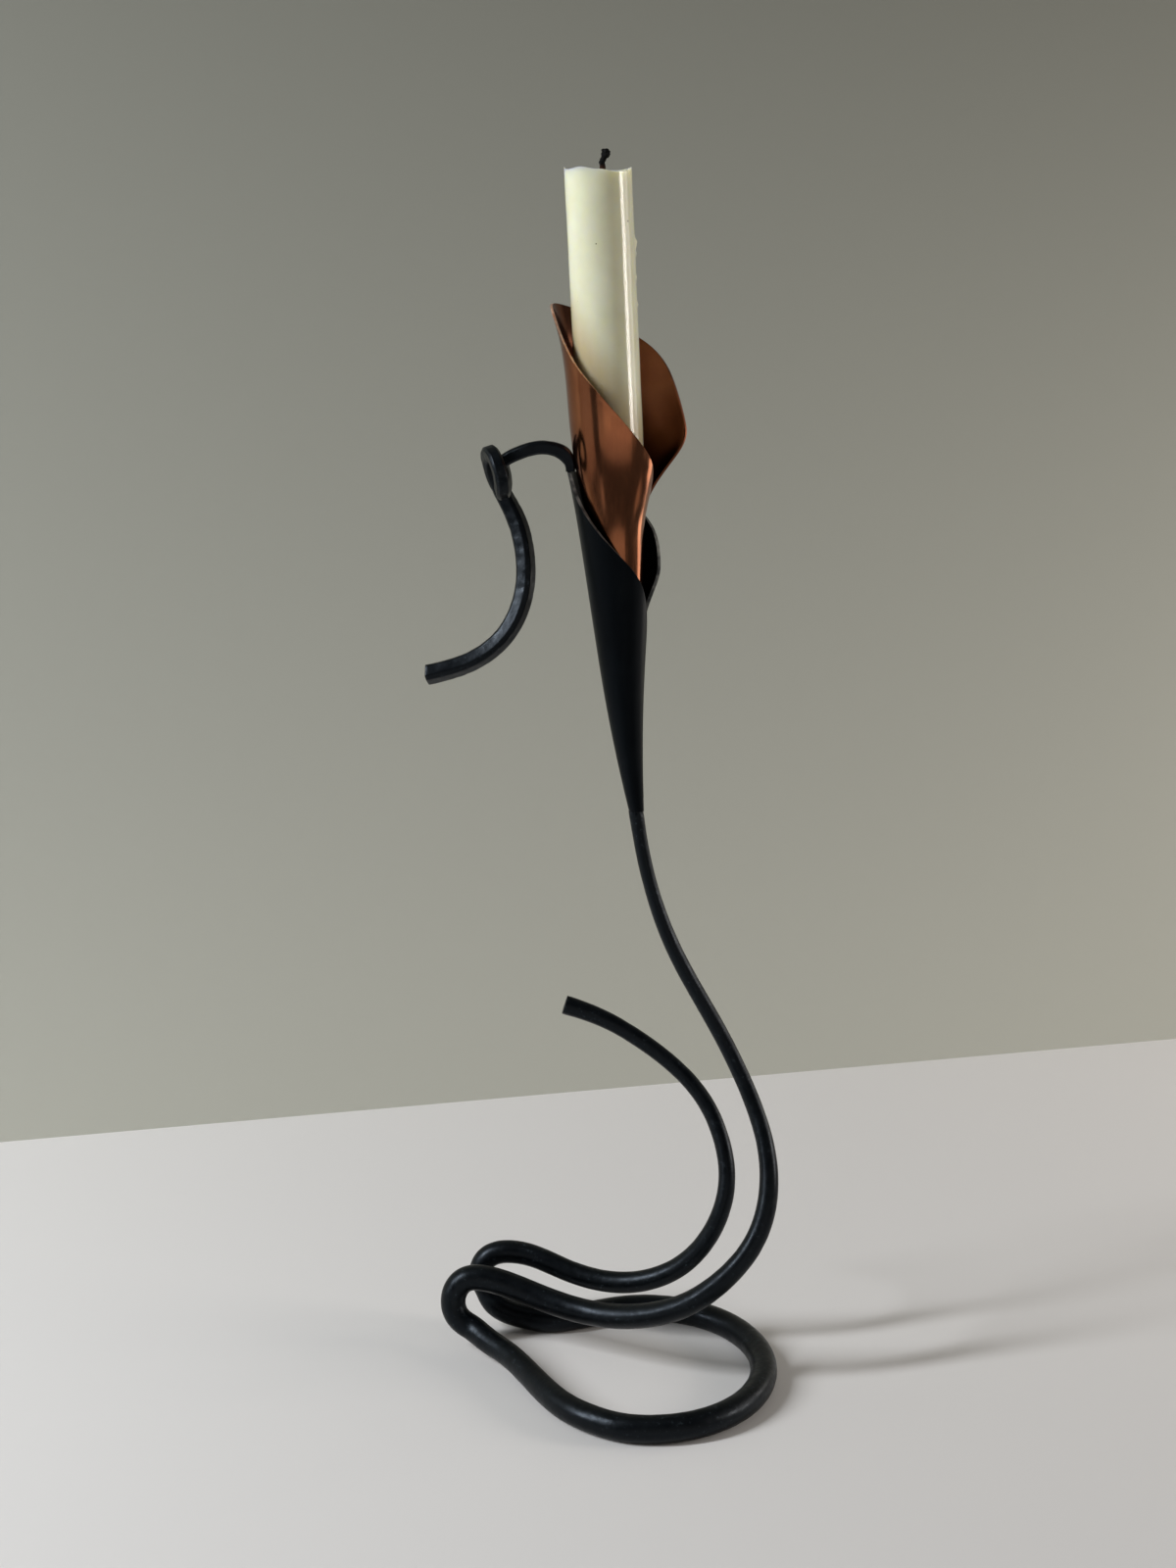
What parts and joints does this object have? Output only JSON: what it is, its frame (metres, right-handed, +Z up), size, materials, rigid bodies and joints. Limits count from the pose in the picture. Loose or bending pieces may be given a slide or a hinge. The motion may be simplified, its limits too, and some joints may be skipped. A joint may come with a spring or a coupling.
{
  "type": "candle holder",
  "caption": "Forged candle holder: a bar bent into a ring foot, stem and free arm carries a rolled steel lily leaf with a curled tendril and a copper leaf that grips a taper candle.",
  "frame": {"origin": "on the table, under the middle of the bounding box", "axes": "+Z up, +X to the right of the pictured front, +Y away from the viewer"},
  "size_m": [0.1228, 0.1004, 0.4226],
  "materials": {
    "blackened_steel": "forged steel blackened and waxed to a soft satin",
    "blackened_sheet": "sheet steel blackened and waxed, smoother than the bar",
    "copper": "bare copper sheet, brushed and polished, slightly toned",
    "wax": "ivory candle wax with a soft gloss",
    "wick_cotton": "plaited cotton, charred"
  },
  "bodies": {
    "holder": {"forged_bar": "blackened_steel", "steel_leaf": "blackened_sheet", "tendril": "blackened_steel", "copper_leaf": "copper"},
    "taper": {"candle": "wax", "wick": "wick_cotton"}
  },
  "joints": [
    {"name": "candle_lift", "type": "slide", "parent": "holder", "child": "taper", "axis": [-0.0489, 0, 0.9988], "range_m": [0, 0.075]}
  ]
}
